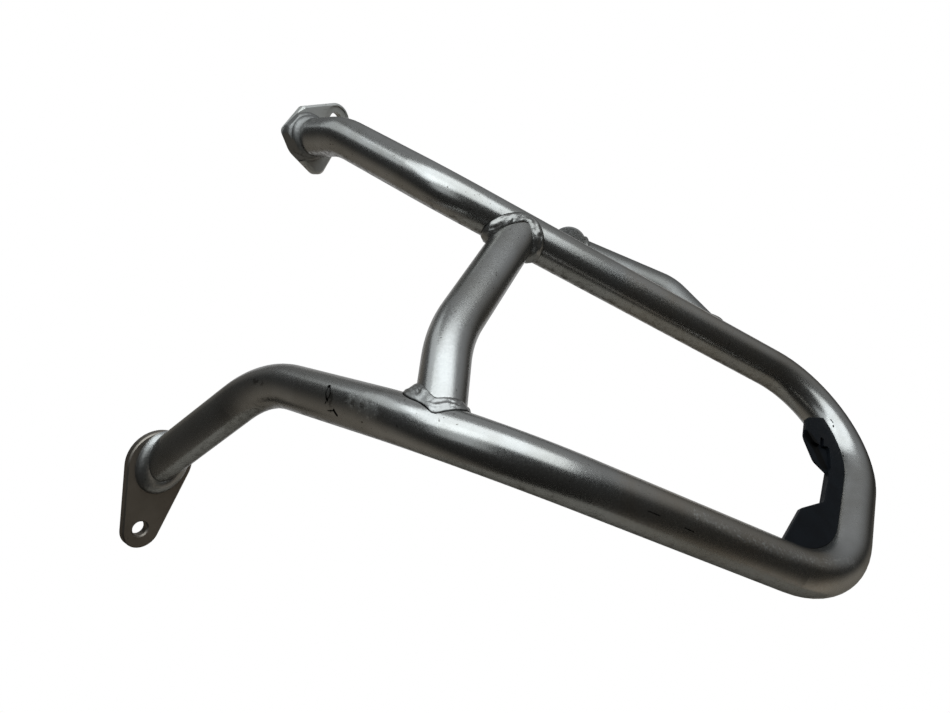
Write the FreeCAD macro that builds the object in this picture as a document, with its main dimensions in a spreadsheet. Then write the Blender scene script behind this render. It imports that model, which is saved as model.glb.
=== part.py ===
import FreeCAD, Part
import Sketcher
import math
import os

# One side's engine crash bar: a bent hoop of round tube with a cross tube, a rear strut with
# a bolt eye, two mounting plates and a moulded insert in the hoop's corner.
# Frame: the origin is the centre of the lower bolt hole on the mounting face. +X points
# outboard, away from the machine, +Y towards the rear, +Z up. Millimetres.

Vector = FreeCAD.Vector
doc = FreeCAD.newDocument("CrashBars")

SIZES = [
    # tubes
    ("tube_dia", 25.0),
    ("tube_wall", 2.5),
    ("strut_dia", 18.0),
    ("strut_wall", 2.0),
    # hoop corner points, from the upper flange round to the lower plate, and their bends
    ("hoop_start_y", 95.5),
    ("hoop_start_z", 258.5),
    ("rise_x", 46.5),
    ("rise_y", 93.5),
    ("rise_z", 257.5),
    ("rise_bend", 54.0),
    ("shoulder_x", 132.0),
    ("shoulder_y", 103.0),
    ("shoulder_z", 226.5),
    ("shoulder_bend", 55.0),
    ("tip_x", 305.0),
    ("tip_y", 362.0),
    ("tip_z", 114.5),
    ("tip_bend", 56.0),
    ("toe_x", 346.5),
    ("toe_y", 218.5),
    ("toe_z", 41.0),
    ("toe_bend", 60.5),
    ("knee_x", 239.0),
    ("knee_y", 32.0),
    ("knee_z", 112.0),
    ("knee_bend", 100.0),
    ("leg_x", 80.0),
    ("leg_y", 33.5),
    ("leg_z", 107.0),
    ("leg_bend", 73.0),
    ("hoop_end_y", 12.0),
    ("hoop_end_z", 43.2),
    # cross tube: where it leaves the upper run, its bend, where it lands in the knee bend
    ("cross_from_shoulder", 52.4),
    ("cross_bend_x", 186.5),
    ("cross_bend_y", 67.5),
    ("cross_bend_z", 149.0),
    ("cross_bend", 90.0),
    ("cross_knee_turn", 41.5),
    # rear strut and its eye
    ("strut_from_tip", 127.5),
    ("strut_bend_x", 194.0),
    ("strut_bend_y", 268.5),
    ("strut_bend_z", 186.7),
    ("strut_bend", 40.0),
    ("eye_x", 112.0),
    ("eye_y", 259.0),
    ("eye_z", 210.6),
    ("eye_dia", 26.0),
    ("eye_length", 28.0),
    ("eye_hole", 10.5),
    ("eye_chamfer", 1.2),
    ("eye_angle", 53.13),
    # lower mounting plate
    ("plate_thick", 6.0),
    ("plate_head_y", 10.3),
    ("plate_head_z", 40.5),
    ("plate_head_radius", 20.5),
    ("plate_foot_y", 1.0),
    ("plate_foot_z", -1.0),
    ("plate_foot_radius", 11.5),
    ("plate_hole", 9.0),
    ("plate_edge", 0.8),
    ("hole_chamfer", 0.9),
    # upper mounting flange
    ("flange_thick", 6.0),
    ("flange_hole_y", 116.4),
    ("flange_hole_z", 275.0),
    ("flange_hole", 10.5),
    ("flange_ear", 11.4),
    ("flange_lobe_y", 104.8),
    ("flange_lobe_z", 242.3),
    ("flange_lobe", 6.5),
    ("flange_seat", 15.5),
    ("flange_back_y", 81.5),
    ("flange_back_z", 259.8),
    ("flange_back", 4.5),
    ("flange_top_y", 91.8),
    ("flange_top_z", 274.8),
    ("flange_top", 4.0),
    ("flange_edge", 1.5),
    ("spot_dia", 19.0),
    ("spot_depth", 1.2),
    ("facet_drop", 4.2),
    # weld beads: how far each stands out from the tube and reaches up or along it
    ("bead_plate", 6.6),
    ("bead_depth", 2.0),
    ("bead_strut", 2.2),
    ("band_out", 2.3),
    ("band_rise", 6.0),
    ("flare_out", 4.2),
    ("flare_base", 2.0),
    ("flare_rise", 6.0),
    ("collar_length", 8.5),
    ("collar_rise", 3.3),
    ("collar_shift", 2.2),
    # corner insert, measured in the hoop's own plane from the toe corner
    ("fit_gap", 0.3),
    ("insert_length", 124.0),
    ("insert_top", 4.5),
    ("insert_thick", 3.0),
    ("insert_edge", 0.6),
    ("insert_neck", 23.0),
    ("insert_lobe", 45.5),
    ("insert_heel", 37.0),
    ("rib_width", 5.0),
    ("rib_depth", 7.5),
    ("pocket_depth", 2.2),
]

sheet = doc.addObject("Spreadsheet::Sheet", "Sizes")
for row, (name, value) in enumerate(SIZES, 1):
    sheet.set("A%d" % row, name)
    sheet.set("B%d" % row, str(value))
    sheet.setAlias("B%d" % row, name)
doc.recompute()


def size(name):
    return float(sheet.get(name))


def point(name):
    return Vector(size(name + "_x"), size(name + "_y"), size(name + "_z"))


# Paths of tubes: straight runs joined by arcs

def bend_path(corners, bends):
    """Edges of a path with each inner corner rounded, and (start, centre, axis) of each arc."""
    edges = []
    arcs = []
    previous = corners[0]
    for before, corner, after, bend in zip(corners, corners[1:], corners[2:], bends):
        into = (corner - before).normalize()
        out = (after - corner).normalize()
        turn = into.getAngle(out)
        reach = bend * math.tan(turn / 2)
        start = corner - into * reach
        end = corner + out * reach
        inward = (out - into).normalize()
        centre = corner + inward * (bend / math.cos(turn / 2))
        middle = centre - inward * bend
        edges.append(Part.makeLine(previous, start))
        edges.append(Part.Arc(start, middle, end).toShape())
        arcs.append((start, centre, into.cross(out).normalize()))
        previous = end
    edges.append(Part.makeLine(previous, corners[-1]))
    return edges, arcs


def path_object(label, edges):
    spine = doc.addObject("Part::Feature", label)
    spine.Shape = Part.Wire(edges)
    spine.Placement = FreeCAD.Placement()
    return spine


def turned(position, direction):
    return FreeCAD.Placement(position, FreeCAD.Rotation(Vector(0, 0, 1), direction))


def rod(label, spine, radius):
    """A solid round bar along a path; radius is an expression on the sheet."""
    first = spine.Shape.Edges[0]
    start = first.valueAt(first.FirstParameter)
    along = first.tangentAt(first.FirstParameter)
    section = doc.addObject("Part::Circle", label + "Section")
    section.setExpression("Radius", radius)
    section.Placement = turned(start, along)
    sweep = doc.addObject("Part::Sweep", label)
    sweep.Sections = [section]
    sweep.Spine = (spine, ["Edge%d" % (i + 1) for i in range(len(spine.Shape.Edges))])
    sweep.Solid = True
    sweep.Frenet = False
    doc.recompute()
    return sweep


def cut(label, base, tools):
    """The base less each tool in turn."""
    for number, tool in enumerate(tools, 1):
        final = number == len(tools)
        name = label if final else "%sTrim%d" % (label, number)
        result = doc.addObject("Part::Cut", name)
        result.Base = base
        result.Tool = tool
        result.Refine = False
        result.Label = name
        doc.recompute()
        if result.Shape.isNull():
            raise RuntimeError(name + " is empty")
        base = result
    return base


def box(label, corner, length, width, height):
    block = doc.addObject("Part::Box", label)
    block.Length = length
    block.Width = width
    block.Height = height
    block.Placement = FreeCAD.Placement(corner, FreeCAD.Rotation())
    return block


hoop_start = Vector(size("flange_thick"), size("hoop_start_y"), size("hoop_start_z"))
hoop_end = Vector(size("plate_thick"), size("hoop_end_y"), size("hoop_end_z"))
rise = point("rise")
shoulder = point("shoulder")
tip = point("tip")
toe = point("toe")
knee = point("knee")
leg = point("leg")

# the path runs past both mounting faces; the ends are trimmed flush with the plates
first = hoop_start + (hoop_start - rise).normalize() * size("flange_thick")
last = hoop_end + (hoop_end - leg).normalize() * size("tube_dia")
corners = [first, rise, shoulder, tip, toe, knee, leg, last]
bends = [size(n + "_bend") for n in ("rise", "shoulder", "tip", "toe", "knee", "leg")]
hoop_edges, hoop_arcs = bend_path(corners, bends)
hoop_spine = path_object("HoopSpine", hoop_edges)

hoop_rod = rod("HoopRod", hoop_spine, "Sizes.tube_dia / 2")
hoop_bore = rod("HoopBore", hoop_spine, "Sizes.tube_dia / 2 - Sizes.tube_wall")
hoop_room = rod("HoopRoom", hoop_spine, "Sizes.tube_dia / 2 + Sizes.fit_gap")


def trim_block(label, end, thickness):
    """A block that holds all of a tube's end short of the outboard face of its plate."""
    reach = 2 * size("tube_dia")
    corner = Vector(-reach, end.y - reach, end.z - reach)
    return box(label, corner, reach + size(thickness), 2 * reach, 2 * reach)


trim_flange = trim_block("TrimFlange", hoop_start, "flange_thick")
trim_plate = trim_block("TrimPlate", hoop_end, "plate_thick")
hoop_tube = cut("hoop_tube", hoop_rod, [hoop_bore, trim_flange, trim_plate])

# Cross tube, coped onto the hoop at both ends
run = (tip - shoulder).normalize()
cross_start = shoulder + run * size("cross_from_shoulder")
knee_start, knee_centre, knee_axis = hoop_arcs[4]
sweep_back = FreeCAD.Rotation(knee_axis, size("cross_knee_turn"))
spoke = sweep_back.multVec(knee_start - knee_centre)
cross_end = knee_centre + spoke
cross_end_run = knee_axis.cross(spoke).normalize()
cross_edges, cross_arcs = bend_path([cross_start, point("cross_bend"), cross_end], [size("cross_bend")])
cross_spine = path_object("CrossSpine", cross_edges)
cross_rod = rod("CrossRod", cross_spine, "Sizes.tube_dia / 2")
cross_bore = rod("CrossBore", cross_spine, "Sizes.tube_dia / 2 - Sizes.tube_wall")
cross_tube = cut("cross_tube", cross_rod, [cross_bore, hoop_room])

# Rear strut with its eye
strut_start = tip - run * size("strut_from_tip")
eye_centre = point("eye")
strut_edges, strut_arcs = bend_path([strut_start, point("strut_bend"), eye_centre], [size("strut_bend")])
strut_spine = path_object("StrutSpine", strut_edges)
strut_rod = rod("StrutRod", strut_spine, "Sizes.strut_dia / 2")
strut_bore = rod("StrutBore", strut_spine, "Sizes.strut_dia / 2 - Sizes.strut_wall")
eye_turn = math.radians(size("eye_angle"))
eye_axis = Vector(math.cos(eye_turn), -math.sin(eye_turn), 0)
eye_rod = doc.addObject("Part::Cylinder", "EyeRod")
eye_rod.setExpression("Radius", "Sizes.eye_dia / 2")
eye_rod.setExpression("Height", "Sizes.eye_length")
eye_rod.Placement = turned(eye_centre - eye_axis * (size("eye_length") / 2), eye_axis)
rear_strut = cut("rear_strut", strut_rod, [strut_bore, hoop_room, eye_rod])


# Sketched pieces

def new_body(label):
    body = doc.addObject("PartDesign::Body", label)
    body.Label = label
    return body


def plane(body, role):
    return [f for f in body.Origin.OriginFeatures if f.Role == role][0]


def sketch_on(body, name, role, offset=0.0):
    sketch = body.newObject("Sketcher::SketchObject", name)
    sketch.AttachmentSupport = [(plane(body, role), "")]
    sketch.MapMode = "FlatFace"
    sketch.AttachmentOffset = FreeCAD.Placement(Vector(0, 0, offset), FreeCAD.Rotation())
    return sketch


def add_loop(sketch, shapes):
    """Adds lines and arcs that follow each other and joins their ends."""
    first_index = sketch.GeometryCount
    for shape in shapes:
        sketch.addGeometry(shape, False)
    count = len(shapes)
    for i in range(count):
        this = first_index + i
        following = first_index + (i + 1) % count
        pairs = [(a, b) for a in (1, 2) for b in (1, 2)]
        near = min(pairs, key=lambda ends: (sketch.getPoint(this, ends[0])
                                            - sketch.getPoint(following, ends[1])).Length)
        sketch.addConstraint(Sketcher.Constraint("Coincident", this, near[0], following, near[1]))


def arc_between(centre, radius, start_angle, end_angle):
    circle = Part.Circle(Vector(centre[0], centre[1], 0), Vector(0, 0, 1), radius)
    while end_angle < start_angle:
        end_angle += 2 * math.pi
    return Part.ArcOfCircle(circle, start_angle, end_angle)


def hull_loop(circles):
    """Outline round circles (y, z, radius) taken anticlockwise: tangent lines and arcs."""
    count = len(circles)
    normals = []
    for i in range(count):
        ya, za, ra = circles[i]
        yb, zb, rb = circles[(i + 1) % count]
        length = math.hypot(yb - ya, zb - za)
        heading = math.atan2(zb - za, yb - ya)
        normals.append(heading - math.acos((ra - rb) / length))
    shapes = []
    for i in range(count):
        ya, za, ra = circles[i]
        yb, zb, rb = circles[(i + 1) % count]
        before = normals[i - 1]
        here = normals[i]
        shapes.append(arc_between((ya, za), ra, before, here))
        leave = Vector(ya + ra * math.cos(here), za + ra * math.sin(here), 0)
        reach = Vector(yb + rb * math.cos(here), zb + rb * math.sin(here), 0)
        shapes.append(Part.LineSegment(leave, reach))
    return shapes


def add_hole(sketch, diameter, across=None, up=None):
    """A circle on the origin, or at the two named sizes; its diameter follows the sheet."""
    x = size(across) if across else 0.0
    y = size(up) if up else 0.0
    circle = Part.Circle(Vector(x, y, 0), Vector(0, 0, 1), size(diameter) / 2)
    index = sketch.addGeometry(circle, False)
    number = sketch.addConstraint(Sketcher.Constraint("Diameter", index, size(diameter)))
    sketch.setExpression("Constraints[%d]" % number, "Sizes." + diameter)
    if across is None:
        sketch.addConstraint(Sketcher.Constraint("Coincident", index, 3, -1, 1))
        return
    number = sketch.addConstraint(Sketcher.Constraint("DistanceX", -1, 1, index, 3, x))
    sketch.setExpression("Constraints[%d]" % number, "Sizes." + across)
    number = sketch.addConstraint(Sketcher.Constraint("DistanceY", -1, 1, index, 3, y))
    sketch.setExpression("Constraints[%d]" % number, "Sizes." + up)


def pad(body, sketch, length, midplane=False, reversed_way=False):
    feature = body.newObject("PartDesign::Pad", sketch.Name + "Pad")
    feature.Profile = sketch
    feature.setExpression("Length", length)
    feature.Midplane = midplane
    feature.Reversed = reversed_way
    sketch.Visibility = False
    doc.recompute()
    return feature


def pocket(body, sketch, length, reversed_way=False):
    before = body.Shape.Volume
    feature = body.newObject("PartDesign::Pocket", sketch.Name + "Pocket")
    feature.Profile = sketch
    feature.setExpression("Length", length)
    feature.Reversed = reversed_way
    doc.recompute()
    if not body.Shape.Volume < before - 0.01:
        raise RuntimeError(sketch.Name + " removes nothing")
    return feature


def edges_where(shape, test):
    return ["Edge%d" % (i + 1) for i, edge in enumerate(shape.Edges) if test(edge)]


def on_plane(edge, axis, value):
    points = edge.discretize(5)
    return all(abs(getattr(p, axis) - value) < 1e-4 for p in points)


def dress(body, kind, edges, sizing):
    base = body.Tip
    feature = body.newObject("PartDesign::" + kind, body.Name + kind + str(len(body.Group)))
    feature.Base = (base, edges)
    feature.setExpression("Size" if kind == "Chamfer" else "Radius", sizing)
    doc.recompute()
    if feature.Shape.isNull():
        raise RuntimeError(feature.Name + " fails")
    return feature


def is_rim(edge):
    return isinstance(edge.Curve, Part.Circle) and len(edge.Vertexes) == 1


# Lower mounting plate: a teardrop with its bolt hole at the origin
lower = new_body("lower_mount_plate")
outline = sketch_on(lower, "PlateOutline", "YZ_Plane")
head = (size("plate_head_y"), size("plate_head_z"), size("plate_head_radius"))
foot = (size("plate_foot_y"), size("plate_foot_z"), size("plate_foot_radius"))
add_loop(outline, hull_loop([head, foot]))
doc.recompute()
pad(lower, outline, "Sizes.plate_thick")
drill = sketch_on(lower, "PlateHole", "YZ_Plane")
add_hole(drill, "plate_hole")
doc.recompute()
pocket(lower, drill, "Sizes.plate_thick", True)
rims = edges_where(lower.Shape, lambda e: is_rim(e) and on_plane(e, "x", size("plate_thick")))
dress(lower, "Chamfer", rims, "Sizes.hole_chamfer")
outer = edges_where(
    lower.Shape,
    lambda e: (on_plane(e, "x", 0) or on_plane(e, "x", size("plate_thick"))) and not is_rim(e),
)
dress(lower, "Chamfer", outer, "Sizes.plate_edge")

# Upper mounting flange: a rounded five-sided plate with one ear for the bolt
upper = new_body("FlangeBlank")
outline = sketch_on(upper, "FlangeOutline", "YZ_Plane")
tube_seat = (size("hoop_start_y"), size("hoop_start_z"), size("flange_seat"))
flange_corners = [
    (size("flange_back_y"), size("flange_back_z"), size("flange_back")),
    tube_seat,
    (size("flange_lobe_y"), size("flange_lobe_z"), size("flange_lobe")),
    (size("flange_hole_y"), size("flange_hole_z"), size("flange_ear")),
    (size("flange_top_y"), size("flange_top_z"), size("flange_top")),
]
add_loop(outline, hull_loop(flange_corners))
doc.recompute()
pad(upper, outline, "Sizes.flange_thick")
drill = sketch_on(upper, "FlangeHole", "YZ_Plane")
add_hole(drill, "flange_hole", "flange_hole_y", "flange_hole_z")
doc.recompute()
pocket(upper, drill, "Sizes.flange_thick", True)
front_edges = edges_where(
    upper.Shape,
    lambda e: on_plane(e, "x", size("flange_thick")) and not is_rim(e),
)
dress(upper, "Chamfer", front_edges, "Sizes.flange_edge")
spot = sketch_on(upper, "SpotFace", "YZ_Plane", size("flange_thick"))
add_hole(spot, "spot_dia", "flange_hole_y", "flange_hole_z")
doc.recompute()
pocket(upper, spot, "Sizes.spot_depth")

# the flange's back corner slopes down towards its free edge
face = size("flange_thick")
fold_out = size("flange_top") * 0.75
slope_from = Vector(face, size("flange_top_y") - fold_out, size("flange_top_z") + fold_out)
tube_top = size("hoop_start_z") + size("tube_dia") / 2
slope_to = Vector(face, size("hoop_start_y"), tube_top - size("flange_edge"))
fold = (slope_to - slope_from).normalize()
free_corner = Vector(face - size("facet_drop"), size("flange_back_y"), size("flange_back_z"))
slope_normal = fold.cross(free_corner - slope_from).normalize()
if slope_normal.x < 0:
    slope_normal = slope_normal * -1
slope_across = slope_normal.cross(fold)
if slope_across.y > 0:
    slope_across = slope_across * -1
wedge_length = 1.8 * size("tube_dia")
wedge_width = 2 * size("tube_dia")
wedge = box("FlangeSlope", Vector(0, 0, 0), wedge_length, wedge_width, 2 * face)
wedge_turn = FreeCAD.Rotation(fold, slope_across, slope_normal, "ZXY")
wedge_from = slope_from - fold * (wedge_length / 3)
if wedge_turn.multVec(Vector(0, 1, 0)).dot(slope_across) < 0:
    wedge_from = wedge_from + slope_across * wedge_width
wedge.Placement = FreeCAD.Placement(wedge_from, wedge_turn)
upper_flange = cut("upper_mount_flange", upper, [wedge])

# Eye of the rear strut
eye_body = new_body("strut_eye")
ring = sketch_on(eye_body, "EyeRing", "XY_Plane")
add_hole(ring, "eye_dia")
add_hole(ring, "eye_hole")
doc.recompute()
pad(eye_body, ring, "Sizes.eye_length", True)
rims = edges_where(eye_body.Shape, is_rim)
dress(eye_body, "Chamfer", rims, "Sizes.eye_chamfer")
eye_body.Placement = turned(eye_centre, eye_axis)


# Weld beads: a round bead along each joint line, trimmed by the pieces that it joins

def half_paths(label, points):
    """A smooth closed line through the points, as two open halves."""
    ring = Part.BSplineCurve()
    ring.interpolate(Points=points, PeriodicFlag=True)
    start, end = ring.FirstParameter, ring.LastParameter
    middle = (start + end) / 2
    ring.setNotPeriodic()
    halves = []
    for number, (low, high) in enumerate([(start, middle), (middle, end)], 1):
        half = ring.copy()
        half.segment(low, high)
        halves.append(path_object("%sHalf%d" % (label, number), [half.toShape()]))
    return halves


def frame_across(direction):
    side = direction.cross(Vector(0, 0, 1))
    if side.Length < 0.1:
        side = direction.cross(Vector(0, 1, 0))
    side.normalize()
    return side, direction.cross(side).normalize()


def joint_line(origin, direction, radius, gap_to_surface, steps=16):
    """Points round a tube where its surface meets another surface.
    gap_to_surface gives the distance along direction from a point to that surface."""
    side, up = frame_across(direction)
    points = []
    for i in range(steps):
        angle = 2 * math.pi * i / steps
        start = origin + side * (radius * math.cos(angle)) + up * (radius * math.sin(angle))
        points.append(start + direction * gap_to_surface(start))
    return points


def to_round_bar(bar_point, bar_axis, bar_radius, direction):
    """Distance along direction to the far surface of a round bar."""
    def gap(start):
        across = start - bar_point
        across = across - bar_axis * across.dot(bar_axis)
        along = direction - bar_axis * direction.dot(bar_axis)
        a = along.dot(along)
        b = across.dot(along)
        c = across.dot(across) - bar_radius ** 2
        return (-b + math.sqrt(max(b * b - a * c, 0.0))) / a
    return gap


def to_face(x_value, direction):
    def gap(start):
        return (x_value - start.x) / direction.x
    return gap


def bead(label, points, half_width, tools):
    halves = half_paths(label, points)
    rods = [rod("%sBead%d" % (label, i), half, "Sizes." + half_width) for i, half in enumerate(halves, 1)]
    ring = doc.addObject("Part::MultiFuse", label + "Ring")
    ring.Shapes = rods
    ring.Refine = False
    doc.recompute()
    return cut(label, ring, tools)


tube_radius = size("tube_dia") / 2
strut_radius = size("strut_dia") / 2

leg_run = (leg - hoop_end).normalize()
foot_line = joint_line(hoop_end, leg_run, tube_radius - size("bead_depth"),
                       to_face(size("plate_thick") - size("bead_depth"), leg_run), 20)
weld_plate = bead("weld_plate", foot_line, "bead_plate", [hoop_rod, trim_plate])


def saddle_weld(label, sleeve, rise):
    """What lies in the sleeve round the cross tube and within rise of the hoop, less both tubes."""
    reach = rod(label + "Reach", hoop_spine, "Sizes.tube_dia / 2 + Sizes." + rise)
    common = doc.addObject("Part::MultiCommon", label + "Common")
    common.Shapes = [sleeve, reach]
    common.Refine = False
    doc.recompute()
    return cut(label, common, [hoop_rod, cross_rod])


# the upper joint has a plain band of weld, the lower one flares out onto the hoop
cross_leave = (point("cross_bend") - cross_start).normalize()
band = doc.addObject("Part::Cylinder", "CrossBand")
band.setExpression("Radius", "Sizes.tube_dia / 2 + Sizes.band_out")
band.setExpression("Height", "Sizes.tube_dia + Sizes.band_rise")
band.Placement = turned(cross_start, cross_leave)
weld_cross_upper = saddle_weld("weld_cross_upper", band, "band_rise")

cross_arrive = (point("cross_bend") - cross_end).normalize()
flare = doc.addObject("Part::Cone", "CrossFlare")
flare.setExpression("Radius1", "Sizes.tube_dia / 2 + Sizes.flare_out")
flare.setExpression("Radius2", "Sizes.tube_dia / 2")
flare.setExpression("Height", "0.9 * Sizes.tube_dia")
flare.Placement = turned(cross_end + cross_arrive * size("flare_base"), cross_arrive)
weld_cross_lower = saddle_weld("weld_cross_lower", flare, "flare_rise")

strut_leave = (point("strut_bend") - strut_start).normalize()
strut_line = joint_line(strut_start, strut_leave, strut_radius,
                        to_round_bar(strut_start, run, tube_radius, strut_leave))
weld_strut_hoop = bead("weld_strut_hoop", strut_line, "bead_strut", [hoop_rod, strut_rod])

strut_arrive = (point("strut_bend") - eye_centre).normalize()
eye_line = joint_line(eye_centre, strut_arrive, strut_radius,
                      to_round_bar(eye_centre, eye_axis, size("eye_dia") / 2, strut_arrive))
weld_strut_eye = bead("weld_strut_eye", eye_line, "bead_strut", [eye_rod, strut_rod])

# the flange weld is laid in two passes, heaviest on the side away from the bolt
collar = new_body("CollarBlank")
profile = sketch_on(collar, "CollarProfile", "XZ_Plane")
inner = tube_radius / 2
foot_x = -size("flange_thick")
rise_out = size("collar_rise")
pass_length = size("collar_length") / 2
toe_out = tube_radius - size("collar_shift")
ridge = [
    Vector(inner, foot_x, 0),
    Vector(tube_radius + rise_out, foot_x, 0),
    Vector(tube_radius + rise_out, 0.1 * pass_length, 0),
    Vector(tube_radius + rise_out * 0.45, pass_length, 0),
    Vector(toe_out, 2 * pass_length, 0),
    Vector(inner, 2 * pass_length, 0),
]
first_pass = Part.Arc(ridge[2], Vector(tube_radius + rise_out * 0.95, pass_length * 0.65, 0), ridge[3])
second_pass = Part.Arc(ridge[3], Vector(tube_radius + rise_out * 0.25, pass_length * 1.6, 0), ridge[4])
add_loop(profile, [
    Part.LineSegment(ridge[0], ridge[1]),
    Part.LineSegment(ridge[1], ridge[2]),
    first_pass,
    second_pass,
    Part.LineSegment(ridge[4], ridge[5]),
    Part.LineSegment(ridge[5], ridge[0]),
])
doc.recompute()
turn = collar.newObject("PartDesign::Revolution", "CollarTurn")
turn.Profile = profile
turn.ReferenceAxis = (profile, ["V_Axis"])
turn.Angle = 360
doc.recompute()
collar_centre = hoop_start - Vector(0, size("collar_shift"), 0)
collar.Placement = turned(collar_centre, (rise - hoop_start).normalize())

# the collar stays on the flange: a column on the flange's outline bounds it
column = new_body("FlangeColumn")
outline = sketch_on(column, "ColumnOutline", "YZ_Plane")
add_loop(outline, hull_loop(flange_corners))
doc.recompute()
pad(column, outline, "Sizes.flange_thick + 2 * Sizes.collar_length")
bounded = doc.addObject("Part::MultiCommon", "CollarBounded")
bounded.Shapes = [collar, column]
bounded.Refine = False
doc.recompute()
weld_flange = cut("weld_flange", bounded, [hoop_rod, upper_flange])

# Corner insert: a moulded block lining the inside of the hoop's corner.
# Sketch x runs from the toe corner towards the tip, sketch y into the hoop.
up_side = (tip - toe).normalize()
hoop_normal = up_side.cross(knee - toe).normalize()
inward = hoop_normal.cross(up_side)
insert = new_body("InsertBlank")


def rounded_loop(points):
    """Lines and arcs through (x, y, radius) corners, taken anticlockwise or clockwise."""
    shapes = []
    count = len(points)
    ends = []
    for i in range(count):
        x, y, radius = points[i]
        corner = Vector(x, y, 0)
        before = Vector(points[i - 1][0], points[i - 1][1], 0)
        after = Vector(points[(i + 1) % count][0], points[(i + 1) % count][1], 0)
        back = (before - corner).normalize()
        ahead = (after - corner).normalize()
        if radius <= 0:
            ends.append((corner, None, corner))
            continue
        half = back.getAngle(ahead) / 2
        reach = radius / math.tan(half)
        centre = corner + (back + ahead).normalize() * (radius / math.sin(half))
        middle = centre + (corner - centre).normalize() * radius
        ends.append((corner + back * reach, middle, corner + ahead * reach))
    for i in range(count):
        start, middle, end = ends[i]
        if middle is not None:
            shapes.append(Part.Arc(start, middle, end))
        shapes.append(Part.LineSegment(end, ends[(i + 1) % count][0]))
    return shapes


# a thin plate with a heel, a neck and a lobe; its outer line runs inside the tube, which cuts it
plate = sketch_on(insert, "InsertOutline", "XY_Plane", size("insert_top"))
length = size("insert_length")
neck = size("insert_neck")
lobe = size("insert_lobe")
heel = size("insert_heel")
add_loop(plate, rounded_loop([
    (-0.113 * length, 1.216 * heel, 0),
    (0.202 * length, heel, 3.5),
    (0.371 * length, neck, 7.0),
    (0.593 * length, 0.978 * neck, 1.5),
    (0.601 * length, 0.736 * lobe, 5.0),
    (0.710 * length, 0.967 * lobe, 10.0),
    (0.863 * length, lobe, 8.0),
    (length, 0.681 * lobe, 5.0),
    (0.960 * length, 0.761 * neck, 6.0),
    (0.839 * length, 0.391 * neck, 0),
    (0.677 * length, 0.130 * neck, 0),
    (0.290 * length, 0.130 * neck, 0),
    (0.048 * length, 0.435 * neck, 0),
]))
doc.recompute()
pad(insert, plate, "Sizes.insert_thick", False, True)
free_edges = edges_where(
    insert.Shape,
    lambda e: on_plane(e, "z", size("insert_top")) and e.CenterOfMass.y > 0.65 * neck,
)
dress(insert, "Chamfer", free_edges, "Sizes.insert_edge")

# a rib under the plate hugs the inside of the tube's bend
bend_middle = hoop_arcs[3][1] - toe
middle_x = bend_middle.dot(up_side)
middle_y = bend_middle.dot(inward)
rib_radius = size("toe_bend") - size("tube_dia") / 2 - size("rib_width")
foot_angle = math.atan2(inward.dot(knee - toe), up_side.dot(knee - toe)) + math.pi / 2
foot_way = Vector(math.cos(foot_angle), math.sin(foot_angle), 0)
middle_flat = Vector(middle_x, middle_y, 0)
half_angle = (foot_angle + 1.5 * math.pi) / 2
half_way = Vector(math.cos(half_angle), math.sin(half_angle), 0)
rib_start = middle_flat + foot_way * rib_radius
rib_middle = middle_flat + half_way * rib_radius
rib_turn = middle_flat - Vector(0, rib_radius, 0)
rib_end = Vector(0.839 * length, rib_turn.y, 0)
rib_corners = [
    Vector(0.790 * length, 0.130 * neck, 0),
    Vector(0.290 * length, 0.130 * neck, 0),
    Vector(0.048 * length, 0.435 * neck, 0),
]
rib_back = middle_flat + foot_way * size("toe_bend")
rib = sketch_on(insert, "InsertRib", "XY_Plane", size("insert_top") - size("insert_thick"))
add_loop(rib, [
    Part.Arc(rib_start, rib_middle, rib_turn),
    Part.LineSegment(rib_turn, rib_end),
    Part.LineSegment(rib_end, rib_corners[0]),
    Part.LineSegment(rib_corners[0], rib_corners[1]),
    Part.LineSegment(rib_corners[1], rib_corners[2]),
    Part.LineSegment(rib_corners[2], rib_back),
    Part.LineSegment(rib_back, rib_start),
])
doc.recompute()
pad(insert, rib, "Sizes.rib_depth", False, True)

# the lobe is relieved on its open side, with a short slot running in from the relief
hollow = sketch_on(insert, "InsertRelief", "XY_Plane", size("insert_top"))
add_loop(hollow, rounded_loop([
    (0.581 * length, 1.052 * neck, 0.5),
    (0.633 * length, 0.974 * neck, 1.0),
    (0.782 * length, 1.130 * neck, 1.5),
    (0.746 * length, 1.313 * neck, 0.5),
    (0.806 * length, 1.348 * neck, 0.6),
    (0.794 * length, 1.452 * neck, 0.6),
    (0.730 * length, 1.426 * neck, 0.5),
    (0.715 * length, 1.617 * neck, 2.0),
    (0.769 * length, 1.013 * lobe, 0.5),
    (0.710 * length, 1.132 * lobe, 0.5),
    (0.532 * length, 0.868 * lobe, 0.5),
]))
doc.recompute()
pocket(insert, hollow, "Sizes.pocket_depth")
insert.Placement = FreeCAD.Placement(toe, FreeCAD.Rotation(up_side, inward, hoop_normal, "XYZ"))
corner_insert = cut("corner_insert", insert, [hoop_room])

PIECES = [
    hoop_tube, cross_tube, rear_strut, eye_body, lower, upper_flange, corner_insert,
    weld_plate, weld_flange, weld_cross_upper, weld_cross_lower, weld_strut_hoop, weld_strut_eye,
]

doc.recompute()
for item in doc.Objects:
    if "Invalid" in item.State or "Error" in item.State:
        raise RuntimeError("%s: %s" % (item.Name, item.State))
os.makedirs("parts", exist_ok=True)
for piece in PIECES:
    shape = piece.Shape
    if shape.isNull() or not shape.isValid() or shape.Volume <= 0:
        raise RuntimeError(piece.Label + " is not a sound solid")
    shape.exportStep("parts/%s.step" % piece.Label)
    print("%-20s solids %d volume %.0f" % (piece.Label, len(shape.Solids), shape.Volume))
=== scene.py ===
import bpy
import bmesh
import math
from mathutils import Matrix, Vector, noise


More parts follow.
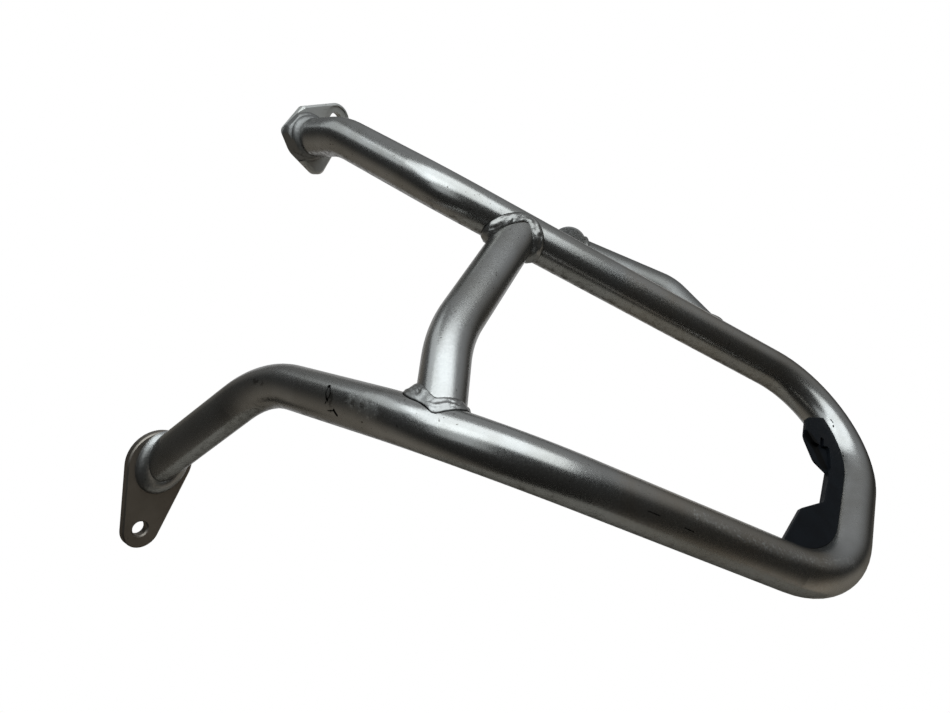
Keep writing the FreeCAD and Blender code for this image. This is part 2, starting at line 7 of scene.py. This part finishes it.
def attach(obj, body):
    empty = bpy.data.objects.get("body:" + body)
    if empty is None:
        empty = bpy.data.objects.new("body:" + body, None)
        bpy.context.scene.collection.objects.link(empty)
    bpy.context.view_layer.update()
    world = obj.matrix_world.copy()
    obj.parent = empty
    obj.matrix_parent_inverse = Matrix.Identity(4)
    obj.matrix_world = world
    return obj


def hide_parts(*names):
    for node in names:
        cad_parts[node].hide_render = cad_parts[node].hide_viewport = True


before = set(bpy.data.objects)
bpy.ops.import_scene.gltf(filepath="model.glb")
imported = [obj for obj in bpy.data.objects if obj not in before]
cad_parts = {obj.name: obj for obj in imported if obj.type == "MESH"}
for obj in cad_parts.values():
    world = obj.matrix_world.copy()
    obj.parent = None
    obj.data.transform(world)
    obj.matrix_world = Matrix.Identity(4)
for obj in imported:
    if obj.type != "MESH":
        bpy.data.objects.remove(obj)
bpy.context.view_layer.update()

CENTRE = Vector((0.17, 0.16, 0.13))


def places(*rows):
    """Places given in millimetres, as vectors in metres."""
    return [Vector(row) / 1000 for row in rows]


# Shader building

class Graph:
    """Adds nodes to the tree of one material or world and links them."""

    def __init__(self, owner, output="ShaderNodeOutputMaterial"):
        owner.use_nodes = True
        self.tree = owner.node_tree
        self.tree.nodes.clear()
        self.output = self.add(output)
        self.coordinates = self.add("ShaderNodeTexCoord").outputs

    def add(self, kind, **settings):
        node = self.tree.nodes.new(kind)
        for key, value in settings.items():
            setattr(node, key, value)
        return node

    def join(self, source, target):
        """Links a socket to the target, or sets the target to a plain value."""
        if isinstance(source, bpy.types.NodeSocket):
            self.tree.links.new(source, target)
        else:
            target.default_value = source

    def show(self, shader):
        self.join(shader.outputs[0], self.output.inputs["Surface"])

    def math(self, operation, first, second=0.0, third=0.0):
        node = self.add("ShaderNodeMath", operation=operation)
        for value, socket in zip((first, second, third), node.inputs):
            self.join(value, socket)
        return node.outputs[0]

    def vector(self, operation, first, second=(0, 0, 0)):
        node = self.add("ShaderNodeVectorMath", operation=operation)
        self.join(first, node.inputs[0])
        self.join(second, node.inputs[1])
        return node.outputs["Value" if operation in ("DOT_PRODUCT", "LENGTH") else "Vector"]

    def noise(self, scale, detail=3.0, roughness=0.5):
        node = self.add("ShaderNodeTexNoise")
        self.join(self.coordinates["Object"], node.inputs["Vector"])
        node.inputs["Scale"].default_value = scale
        node.inputs["Detail"].default_value = detail
        node.inputs["Roughness"].default_value = roughness
        return node.outputs["Fac"]

    def ramp(self, value, low, high, start=0.0, end=1.0):
        """Smooth step from start, where the value is low, to end, where it is high."""
        node = self.add("ShaderNodeMapRange", clamp=True, interpolation_type="SMOOTHSTEP")
        self.join(value, node.inputs["Value"])
        node.inputs["From Min"].default_value = low
        node.inputs["From Max"].default_value = high
        node.inputs["To Min"].default_value = start
        node.inputs["To Max"].default_value = end
        return node.outputs["Result"]

    def mix(self, factor, first, second):
        node = self.add("ShaderNodeMix", data_type="RGBA")
        self.join(factor, node.inputs["Factor"])
        self.join(first, node.inputs[6])
        self.join(second, node.inputs[7])
        return node.outputs[2]

    def bump(self, height, distance, strength=1.0, below=None):
        node = self.add("ShaderNodeBump")
        self.join(height, node.inputs["Height"])
        node.inputs["Distance"].default_value = distance
        node.inputs["Strength"].default_value = strength
        if below is not None:
            self.join(below, node.inputs["Normal"])
        return node.outputs["Normal"]

    def normal_z(self):
        split = self.add("ShaderNodeSeparateXYZ")
        self.join(self.coordinates["Normal"], split.inputs[0])
        return split.outputs["Z"]

    def from_segment(self, start, end):
        """Distance from the surface point to the segment between two places."""
        along = end - start
        offset = self.vector("SUBTRACT", self.coordinates["Object"], start)
        share = self.math("DIVIDE", self.vector("DOT_PRODUCT", offset, along), along.length_squared)
        share = self.math("MAXIMUM", self.math("MINIMUM", share, 1.0), 0.0)
        scale = self.add("ShaderNodeVectorMath", operation="SCALE")
        scale.inputs[0].default_value = along
        self.join(share, scale.inputs["Scale"])
        return self.vector("LENGTH", self.vector("SUBTRACT", offset, scale.outputs["Vector"]))

    def stroke(self, path, width, soft):
        """1 on a line drawn through the path's places, 0 away from it, with a ragged edge."""
        distance = None
        for start, end in zip(path, path[1:]):
            here = self.from_segment(start, end)
            distance = here if distance is None else self.math("MINIMUM", distance, here)
        ragged = self.math("MULTIPLY", self.noise(900, 2.0), soft)
        return self.ramp(self.math("ADD", distance, ragged), width, width + soft, 1.0, 0.0)

    def strokes(self, rows, soft):
        """1 on any of the rows, each of them a path and its width in millimetres."""
        return self.largest([self.stroke(path, width / 1000, soft) for path, width in rows])

    def largest(self, values):
        total = values[0]
        for value in values[1:]:
            total = self.math("MAXIMUM", total, value)
        return total

    def finish(self, colour, roughness, normal, **sockets):
        """Ends in a Principled shader, with the uniform values set on its own sockets."""
        shader = self.add("ShaderNodeBsdfPrincipled")
        self.join(colour, shader.inputs["Base Color"])
        self.join(roughness, shader.inputs["Roughness"])
        self.join(normal, shader.inputs["Normal"])
        for name, value in sockets.items():
            shader.inputs[name.replace("_", " ")].default_value = value
        self.show(shader)


# Marks on the coat, each a path and its width in millimetres

# Dark spots: the blots at the ends of a narrow loop, one below it, flecks elsewhere, and a painted
# shadow in the pit by the upper flange
BLOTS_AND_PIT_SHADOW = [
    (places((150.8, 23.5, 117.5), (151.6, 23.3, 117.4)), 0.9),
    (places((154.2, 20.6, 111.8), (154.6, 20.6, 111.4)), 0.8),
    (places((153.9, 20.4, 110.4), (153.5, 20.3, 109.4)), 0.35),
    (places((160.6, 20.4, 107.6), (162.8, 20.9, 105.6)), 0.8),
    # Painted shadow: the dark pit where the flange's weld meets the tube
    (places((14.5, 93.9, 245.5), (14.9, 94.3, 245.4)), 1.1),
    (places((301.6, 306.1, 116.2), (303.2, 306.0, 114.8)), 0.35),
    (places((303.9, 305.3, 112.9), (304.2, 305.0, 112.2)), 0.45),
    (places((315.0, 296.2, 97.4), (315.4, 295.8, 96.8)), 0.4),
    (places((179.3, 79.9, 174.5), (179.4, 80.0, 174.3)), 0.25),
    (places((185.5, 82.5, 174.3), (185.6, 82.5, 174.1)), 0.25),
    (places((195.4, 52.9, 149.0), (195.5, 52.9, 148.8)), 0.25),
]
# Dark lines: the loop's two sides, its tail and the hairlines on the lower run
LINES = [
    (places((151.2, 22.6, 116.4), (151.7, 21.4, 114.2), (153.3, 20.7, 112.3)), 0.32),
    (places((152.6, 23.0, 116.9), (155.3, 21.4, 114.6), (155.2, 20.7, 112.6)), 0.32),
    (places((155.8, 20.7, 106.3), (161.0, 20.4, 107.4)), 0.3),
    (places((292.0, 99.1, 85.6), (293.3, 101.5, 84.7), (295.3, 104.8, 83.4)), 0.2),
    (places((302.3, 116.9, 77.9), (304.9, 121.3, 75.9)), 0.25),
]
# Faint smudges on the leg's bend and round the loop
SMUDGES = [
    (places((87.0, 20.6, 108.1), (94.8, 20.6, 108.6)), 1.6),
    (places((90.2, 22.4, 98.0), (99.3, 22.6, 100.5)), 1.0),
    (places((155.0, 20.7, 114.0), (157.5, 20.4, 108.5)), 2.6),
    (places((167.8, 21.0, 114.1), (181.0, 20.8, 114.1)), 1.5),
]
# The brown film on the upper and lower runs towards the toe
FILM = [
    (places((200, 205, 182), (292, 342, 123)), 14),
    (places((284, 101, 91), (334, 195, 55)), 14),
]
# Where the coat is pitted and rubbed: along the lower run's upper side and round the toe
RUBBED = [
    (places((171.6, 21.2, 114.9), (188.6, 20.8, 112.7)), 3.5),
    (places((303.3, 125.0, 83.5), (316.8, 145.7, 73.6), (330.7, 169.8, 64.4),
            (342.4, 195.3, 58.4), (349.0, 219.5, 56.7)), 2.2),
]
# The shaded relief on the insert's lobe
RELIEF = [(places((299.5, 276.5, 107.5), (304.0, 277.5, 100.5), (311.0, 273.5, 92.0)), 3.2)]


# Paints: their colours, and the depth of each surface texture in metres

SILVER = (0.43, 0.43, 0.425)
SILVER_DULL = (0.35, 0.345, 0.33)
# Dark brown: the colour of real specks and smudges, and also of the painted shade on the undersides
GRIME_AND_UNDERSIDE_SHADE = (0.045, 0.036, 0.028, 1)
SOOT_AND_PIT_SHADOW = (0.004, 0.004, 0.004, 1)
DUST = (0.62, 0.62, 0.60, 1)
FILM_BROWN = (0.36, 0.31, 0.245, 1)
RUBBER = (0.003, 0.004, 0.006, 1)
RUBBER_DUSTY = (0.006, 0.008, 0.011, 1)
RUBBER_SHADE = (0.0006, 0.0006, 0.0006, 1)
SATIN = 0.165
COAT_GRAIN = 0.00005
WELD_GRAIN = 0.0004
RUBBER_GRAIN = 0.00012


def shaded(colour, shade):
    return tuple(share * value for share, value in zip(shade, colour)) + (1,)


def silver_paint(name, is_weld=False, shade=(1, 1, 1), dullness=0.0):
    """Satin silver coat: fine grain, cloudy tone, patchy painted shade on its undersides, marks and
    specks.
    """
    material = bpy.data.materials.new(name)
    g = Graph(material)
    cloud = g.noise(26, 4.0, 0.6)
    # Painted shade: the colour darkens in patches where the surface faces down
    under = g.ramp(g.normal_z(), -0.98, -0.45, 1.0, 0.0)
    patchy = g.ramp(g.noise(260, 5.0, 0.65), 0.48, 0.66)
    underside_shade = g.math("MULTIPLY", under, g.math("MULTIPLY_ADD", patchy, 0.6, 0.08))
    speck_dots = g.ramp(g.noise(560, 1.0, 0.5), 0.70, 0.75)
    speck_areas = g.ramp(g.noise(38, 2.0), 0.50, 0.62)
    specks = g.math("MULTIPLY", speck_dots, speck_areas)
    colour = g.mix(g.ramp(cloud, 0.35, 0.68), shaded(SILVER, shade), shaded(SILVER_DULL, shade))
    colour = g.mix(underside_shade, colour, GRIME_AND_UNDERSIDE_SHADE)
    colour = g.mix(g.math("MULTIPLY", specks, 0.7), colour, GRIME_AND_UNDERSIDE_SHADE)
    roughness = g.math("MULTIPLY_ADD", cloud, 0.12, SATIN + dullness)
    roughness = g.math("MULTIPLY_ADD", underside_shade, 0.3, roughness)
    uneven = g.ramp(g.noise(800, 2.0, 0.6), 0.35, 0.65)
    roughness = g.math("MULTIPLY_ADD", uneven, 0.05, roughness)
    height = g.noise(1250, 2.0, 0.6)
    if is_weld:
        seam = g.add("ShaderNodeAttribute", attribute_name="seam").outputs["Fac"]
        colour = g.mix(seam, colour, SOOT_AND_PIT_SHADOW)
        normal = g.bump(height, COAT_GRAIN, 0.5)
        normal = g.bump(g.noise(330, 3.0, 0.6), WELD_GRAIN, 0.5, normal)
    else:
        pits = g.noise(620, 3.0, 0.65)
        rubbed = g.strokes(RUBBED, 0.004)
        film_strength = g.math("MULTIPLY_ADD", g.noise(55, 3.0), 0.9, 0.05)
        film = g.math("MULTIPLY", g.strokes(FILM, 0.012), film_strength)
        colour = g.mix(film, colour, FILM_BROWN)
        smudge_strength = g.ramp(g.noise(300, 3.0), 0.42, 0.62, 0.0, 0.6)
        smudged = g.math("MULTIPLY", g.strokes(SMUDGES, 0.002), smudge_strength)
        colour = g.mix(smudged, colour, GRIME_AND_UNDERSIDE_SHADE)
        flecks = g.math("MULTIPLY", rubbed, g.ramp(pits, 0.52, 0.62))
        colour = g.mix(g.math("MULTIPLY", flecks, 0.8), colour, DUST)
        # Near-black marks; the one by the flange is a painted shadow in its pit
        colour = g.mix(g.strokes(BLOTS_AND_PIT_SHADOW + LINES, 0.0004), colour, SOOT_AND_PIT_SHADOW)
        roughness = g.math("MULTIPLY_ADD", rubbed, 0.12, roughness)
        pitted = g.math("MULTIPLY", g.math("MULTIPLY", pits, rubbed), 3.0)
        normal = g.bump(g.math("ADD", height, pitted), COAT_GRAIN, 0.5)
    g.finish(colour, roughness, normal, Metallic=0.95, Specular_Tint=(0.45, 0.45, 0.45, 1))
    return material


def black_rubber():
    """Matte moulded rubber with a fine grain, a dusty bloom and a shaded relief."""
    material = bpy.data.materials.new("black_rubber")
    g = Graph(material)
    dust = g.ramp(g.noise(90, 5.0, 0.65), 0.35, 0.75)
    colour = g.mix(dust, RUBBER, RUBBER_DUSTY)
    colour = g.mix(g.strokes(RELIEF, 0.0015), colour, RUBBER_SHADE)
    roughness = g.math("MULTIPLY_ADD", dust, 0.15, 0.55)
    normal = g.bump(g.noise(1500, 3.0, 0.6), RUBBER_GRAIN, 0.5)
    g.finish(colour, roughness, normal, Metallic=0.0, Specular_IOR_Level=0.12)
    return material


silver = silver_paint("silver_coat")
# Painted shade: the strut's coat is the same silver, painted darker
strut_shaded_silver = silver_paint("strut_coat_painted_shade", False, (0.6, 0.6, 0.6), 0.2)
plate_silver = silver_paint("plate_coat", False, (0.62, 0.56, 0.50), 0.22)
# Painted light: the flange's coat is the same silver, painted brighter
flange_lit_silver = silver_paint("flange_coat_painted_light", False, (1.4, 1.4, 1.38), 0.30)
weld_silver = silver_paint("weld_coat", True, (0.8, 0.8, 0.8), 0.06)
rough_weld = silver_paint("rough_weld_coat", True, (0.9, 0.9, 0.9), 0.14)
collar_weld = silver_paint("collar_weld_coat", True, (0.6, 0.6, 0.6), 0.24)

LOOKS = {
    "corner_insert": black_rubber(),
    "rear_strut": strut_shaded_silver,
    "weld_strut_hoop": strut_shaded_silver,
    "lower_mount_plate": plate_silver,
    "upper_mount_flange": flange_lit_silver,
    "weld_plate": rough_weld,
    "weld_flange": collar_weld,
    "weld_strut_eye": weld_silver,
}
for node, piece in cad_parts.items():
    for slot in piece.material_slots:
        slot.material = LOOKS.get(node, silver)


# The photograph's camera: place, aim and lens

CAMERA_PLACE = Vector((0.44525, -0.19724, 0.18110))
VIEW_AZIMUTH = math.radians(42.16)
VIEW_PITCH = math.radians(6.34)
VIEW_ROLL = math.radians(6.95)
LENS_MM = 28.0
SENSOR_MM = 36.0
CLIP_START = 0.01

forward = Vector((-math.sin(VIEW_AZIMUTH) * math.cos(VIEW_PITCH),
                  math.cos(VIEW_AZIMUTH) * math.cos(VIEW_PITCH), -math.sin(VIEW_PITCH)))
level = Vector((math.cos(VIEW_AZIMUTH), math.sin(VIEW_AZIMUTH), 0))
right = level * math.cos(VIEW_ROLL) + level.cross(forward) * math.sin(VIEW_ROLL)
up = right.cross(forward)


# Rippled weld beads at both ends of the cross tube, in place of the source's plain ones

# Corners of the centre lines of the hoop and the cross tube, as the source has them
SHOULDER, TIP, TOE, KNEE, LEG, CROSS_BEND = places(
    (132, 103, 226.5), (305, 362, 114.5), (346.5, 218.5, 41),
    (239, 32, 112), (80, 33.5, 107), (186.5, 67.5, 149))
TUBE_RADIUS = 0.0125
CROSS_FROM_SHOULDER = 0.0524
KNEE_BEND = 0.1
CROSS_KNEE_TURN = math.radians(41.5)

# The search for the joint line goes down the cross tube's side to just off the hoop
SEARCH_FROM = 3 * TUBE_RADIUS
SEARCH_TO = 1.012 * TUBE_RADIUS
SEARCH_STEP = 0.0001

WELD_STEPS = 200
WELD_ROWS = 14
WELD_SINK = 0.0005
TOE_LEAN = 0.6
RIPPLE_PITCH = 0.0031
RIPPLE_SLANT = 5
RIPPLE_HEIGHT = 0.00006
PASS_HEIGHT = 0.00014
LUMP_HEIGHT = 0.0004
SPATTER_HEIGHT = 0.00008
SEAM_ROWS = 3
SEAM_SOOT = 0.9

upper_run = (TIP - SHOULDER).normalized()
cross_start = SHOULDER + upper_run * CROSS_FROM_SHOULDER
into_knee = (KNEE - TOE).normalized()
out_of_knee = (LEG - KNEE).normalized()
half_turn = into_knee.angle(out_of_knee) / 2
knee_centre = KNEE + (out_of_knee - into_knee).normalized() * (KNEE_BEND / math.cos(half_turn))
knee_axis = into_knee.cross(out_of_knee).normalized()
knee_start = KNEE - into_knee * (KNEE_BEND * math.tan(half_turn))
knee_turn = Matrix.Rotation(CROSS_KNEE_TURN, 3, knee_axis)
cross_end = knee_centre + knee_turn @ (knee_start - knee_centre)


def from_upper_run(point):
    """From the centre line of the hoop's upper run to the point."""
    offset = point - SHOULDER
    return offset - upper_run * offset.dot(upper_run)


def from_knee_bend(point):
    """From the centre line of the hoop's knee bend to the point."""
    offset = point - knee_centre
    flat = offset - knee_axis * offset.dot(knee_axis)
    return offset - flat.normalized() * KNEE_BEND


def joint_place(root, way, out, from_spine):
    """Where the cross tube's side that faces out comes down to the hoop."""
    joint = root + out * TUBE_RADIUS + way * SEARCH_FROM
    while from_spine(joint).length > SEARCH_TO and (joint - root).dot(way) > 0:
        joint = joint - way * SEARCH_STEP
    return joint


def bead_height(spot, angle, share, swell):
    """How far the bead stands off at a spot: its swell, ripples, passes, lumps and spatter."""
    ripple = math.sin(2 * math.pi * (angle * TUBE_RADIUS / RIPPLE_PITCH) + RIPPLE_SLANT * share)
    passes = math.sin(2 * math.pi * (2 * share + noise.noise(spot * 150)))
    rough = noise.noise(spot * 300) * LUMP_HEIGHT + noise.noise(spot * 1300) * SPATTER_HEIGHT
    return swell + ripple * RIPPLE_HEIGHT + passes * PASS_HEIGHT + rough


def bead_section(root, way, from_spine, out, angle, rise, spread, swell):
    """The bead's outline on one side, from its top on the cross tube to its toe on the hoop."""
    joint = joint_place(root, way, out, from_spine)
    outward = from_spine(joint).normalized()
    along = out - way * TOE_LEAN
    along = (along - outward * along.dot(outward)).normalized()
    top = joint + way * rise
    toe = joint + along * spread
    toe = toe - from_spine(toe) * (1 - TUBE_RADIUS / from_spine(toe).length)
    middle = (out + outward).normalized()
    points = [top - out * WELD_SINK]
    for row in range(WELD_ROWS + 1):
        share = row / WELD_ROWS
        arch = math.sin(math.pi * share) ** 0.75
        spot = top.lerp(toe, share)
        points.append(spot + middle * (bead_height(spot, angle, share, swell) * arch))
    points.append(toe - from_spine(toe).normalized() * WELD_SINK)
    return points


def weld_ring(name, root, way, from_spine, rise, spread, swell):
    """A bead round the cross tube's root, from its side to the hoop's. rise and spread give
    its lengths on the two tubes for each way out from the cross tube's axis."""
    side = way.orthogonal().normalized()
    other = way.cross(side)
    mesh = bpy.data.meshes.new(name)
    form = bmesh.new()
    seam = form.verts.layers.float.new("seam")
    rings = []
    for step in range(WELD_STEPS):
        angle = 2 * math.pi * step / WELD_STEPS
        out = side * math.cos(angle) + other * math.sin(angle)
        points = bead_section(root, way, from_spine, out, angle, rise(out), spread(out), swell)
        rings.append([form.verts.new(point) for point in points])
        for vertex in rings[-1][-SEAM_ROWS:]:
            vertex[seam] = SEAM_SOOT
    for ring, following in zip(rings, rings[1:] + rings[:1]):
        for a, b, c, d in zip(ring, ring[1:] + ring[:1], following[1:] + following[:1], following):
            form.faces.new((a, b, c, d)).smooth = True
    bmesh.ops.recalc_face_normals(form, faces=form.faces)
    form.to_mesh(mesh)
    form.free()
    piece = bpy.data.objects.new(name, mesh)
    bpy.context.collection.objects.link(piece)
    mesh.materials.append(weld_silver)
    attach(piece, "root")
    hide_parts(name)


def toward(way, low, high, out, sharpness=2):
    """low on the side away from the way, high on the side that faces it."""
    return low + (high - low) * (0.5 + 0.5 * out.dot(way)) ** sharpness


LOWER_TOP_WAY = (-0.44 * right - 0.90 * forward).normalized()
LOWER_TOE_WAY = (-0.95 * right - 0.31 * forward).normalized()

weld_ring("weld_cross_upper", cross_start, (CROSS_BEND - cross_start).normalized(), from_upper_run,
          rise=lambda out: toward(-right, 0.0030, 0.0045, out),
          spread=lambda out: toward(-right, 0.0060, 0.0062, out),
          swell=0.0015)
weld_ring("weld_cross_lower", cross_end, (CROSS_BEND - cross_end).normalized(), from_knee_bend,
          rise=lambda out: toward(LOWER_TOP_WAY, 0.0035, 0.0102, out, 3),
          spread=lambda out: (toward(LOWER_TOE_WAY, 0.0003, 0.0085, out, 14)
                              + toward(right, 0, 0.0030, out)),
          swell=0.0004)


# Stage: a pale floor well below the held part, and a pale backdrop panel behind it

FLOOR_CENTRE = CENTRE + Vector((0.04, 0.56, -1.28))
FLOOR_RADIUS = 1.0
FLOOR_SIDES = 64
FLOOR_COLOUR = (0.82, 0.78, 0.70, 1)
BACKDROP_AWAY = 5.0
BACKDROP_HALF = (3.3, 2.5)
BACKDROP_COLOUR = (0.82, 0.82, 0.82, 1)


def stage_paint(name, colour, shows_white):
    """A plain diffuse paint that can show plain white to camera, glossy and transmission rays."""
    material = bpy.data.materials.new(name)
    g = Graph(material)
    diffuse = g.add("ShaderNodeBsdfDiffuse")
    diffuse.inputs["Color"].default_value = colour
    if not shows_white:
        g.show(diffuse)
        return material
    glow = g.add("ShaderNodeEmission")
    glow.inputs["Color"].default_value = (1, 1, 1, 1)
    rays = g.add("ShaderNodeLightPath")
    seen = g.largest([rays.outputs["Is Camera Ray"], rays.outputs["Is Glossy Ray"],
                      rays.outputs["Is Transmission Ray"]])
    blend = g.add("ShaderNodeMixShader")
    for source, socket in zip((seen, diffuse.outputs[0], glow.outputs[0]), blend.inputs):
        g.join(source, socket)
    g.show(blend)
    return material


def stage_mesh(name, corners, material):
    """One flat face through the corners."""
    mesh = bpy.data.meshes.new(name)
    form = bmesh.new()
    form.faces.new([form.verts.new(corner) for corner in corners])
    form.to_mesh(mesh)
    form.free()
    mesh.materials.append(material)
    piece = bpy.data.objects.new(name, mesh)
    bpy.context.collection.objects.link(piece)


floor_angles = [2 * math.pi * i / FLOOR_SIDES for i in range(FLOOR_SIDES)]
floor_corners = [FLOOR_CENTRE + Vector((math.cos(angle), math.sin(angle), 0)) * FLOOR_RADIUS
                 for angle in floor_angles]
backdrop_middle = CAMERA_PLACE + forward * BACKDROP_AWAY
backdrop_corners = [backdrop_middle + right * (BACKDROP_HALF[0] * x) + up * (BACKDROP_HALF[1] * y)
                    for x, y in ((-1, -1), (1, -1), (1, 1), (-1, 1))]
stage_mesh("floor", floor_corners, stage_paint("floor_paint", FLOOR_COLOUR, False))
stage_mesh("backdrop", backdrop_corners, stage_paint("backdrop_paint", BACKDROP_COLOUR, True))


# Light: a large window to one side above, a side box, a low strip and a dim room

LAMP_COLOUR = (0.91, 0.975, 1.0)
ROOM_WARM = (1.0, 0.92, 0.79, 1)
ROOM_COOL = (0.95, 0.98, 1.0, 1)
ROOM_GLOW = 0.012
# Brighter sides of the room: azimuth, elevation, cosines where each starts and is full, strength
ROOM_TONES = (
    (62, -38, 0.68, 0.95, 0.40),
    (86, 68, 0.4, 1.0, 0.36),
    (180, -42, 0.45, 1.0, 0.24),
    (150, 15, 0.6, 0.95, 0.20),
)


def direction(azimuth, elevation):
    azimuth, elevation = math.radians(azimuth), math.radians(elevation)
    return Vector((math.cos(azimuth) * math.cos(elevation),
                   math.sin(azimuth) * math.cos(elevation), math.sin(elevation)))


def soft_light(name, azimuth, elevation, away, width, height, power):
    """A softbox that faces the part from the given side."""
    lamp = bpy.data.lights.new(name, "AREA")
    lamp.shape = "RECTANGLE"
    lamp.size = width
    lamp.size_y = height
    lamp.energy = power
    lamp.color = LAMP_COLOUR
    holder = bpy.data.objects.new(name, lamp)
    way = direction(azimuth, elevation)
    holder.location = CENTRE + way * away
    holder.rotation_euler = way.to_track_quat("Z", "Y").to_euler()
    bpy.context.collection.objects.link(holder)


def room_world():
    """A dim room with brighter sides, cool above and warm low down."""
    world = bpy.data.worlds.new("room")
    g = Graph(world, "ShaderNodeOutputWorld")

    def tone(azimuth, elevation, low, high, value):
        facing = g.vector("DOT_PRODUCT", g.coordinates["Generated"], direction(azimuth, elevation))
        return g.ramp(facing, low, high, 0.0, value)

    strength = ROOM_GLOW
    for row in ROOM_TONES:
        strength = g.math("ADD", tone(*row), strength)
    light = g.add("ShaderNodeBackground")
    g.join(g.mix(tone(0, 90, 0.05, 0.6, 1.0), ROOM_WARM, ROOM_COOL), light.inputs["Color"])
    g.join(strength, light.inputs["Strength"])
    g.show(light)
    return world


soft_light("window", -51, 57, 0.69, 1.2, 0.68, 5.5)
soft_light("side_box", -137, 42, 0.8, 0.62, 0.3, 0.55)
soft_light("low_strip", -72, 26, 0.8, 0.4, 0.75, 0.7)


# Scene settings and camera

scene = bpy.context.scene
scene.world = room_world()
scene.view_settings.view_transform = "Standard"

lens = bpy.data.cameras.new("camera")
lens.lens = LENS_MM
lens.sensor_width = SENSOR_MM
lens.clip_start = CLIP_START
camera = bpy.data.objects.new("camera", lens)
aim = Matrix((right, up, -forward)).transposed().to_4x4()
camera.matrix_world = Matrix.Translation(CAMERA_PLACE) @ aim
bpy.context.collection.objects.link(camera)
scene.camera = camera
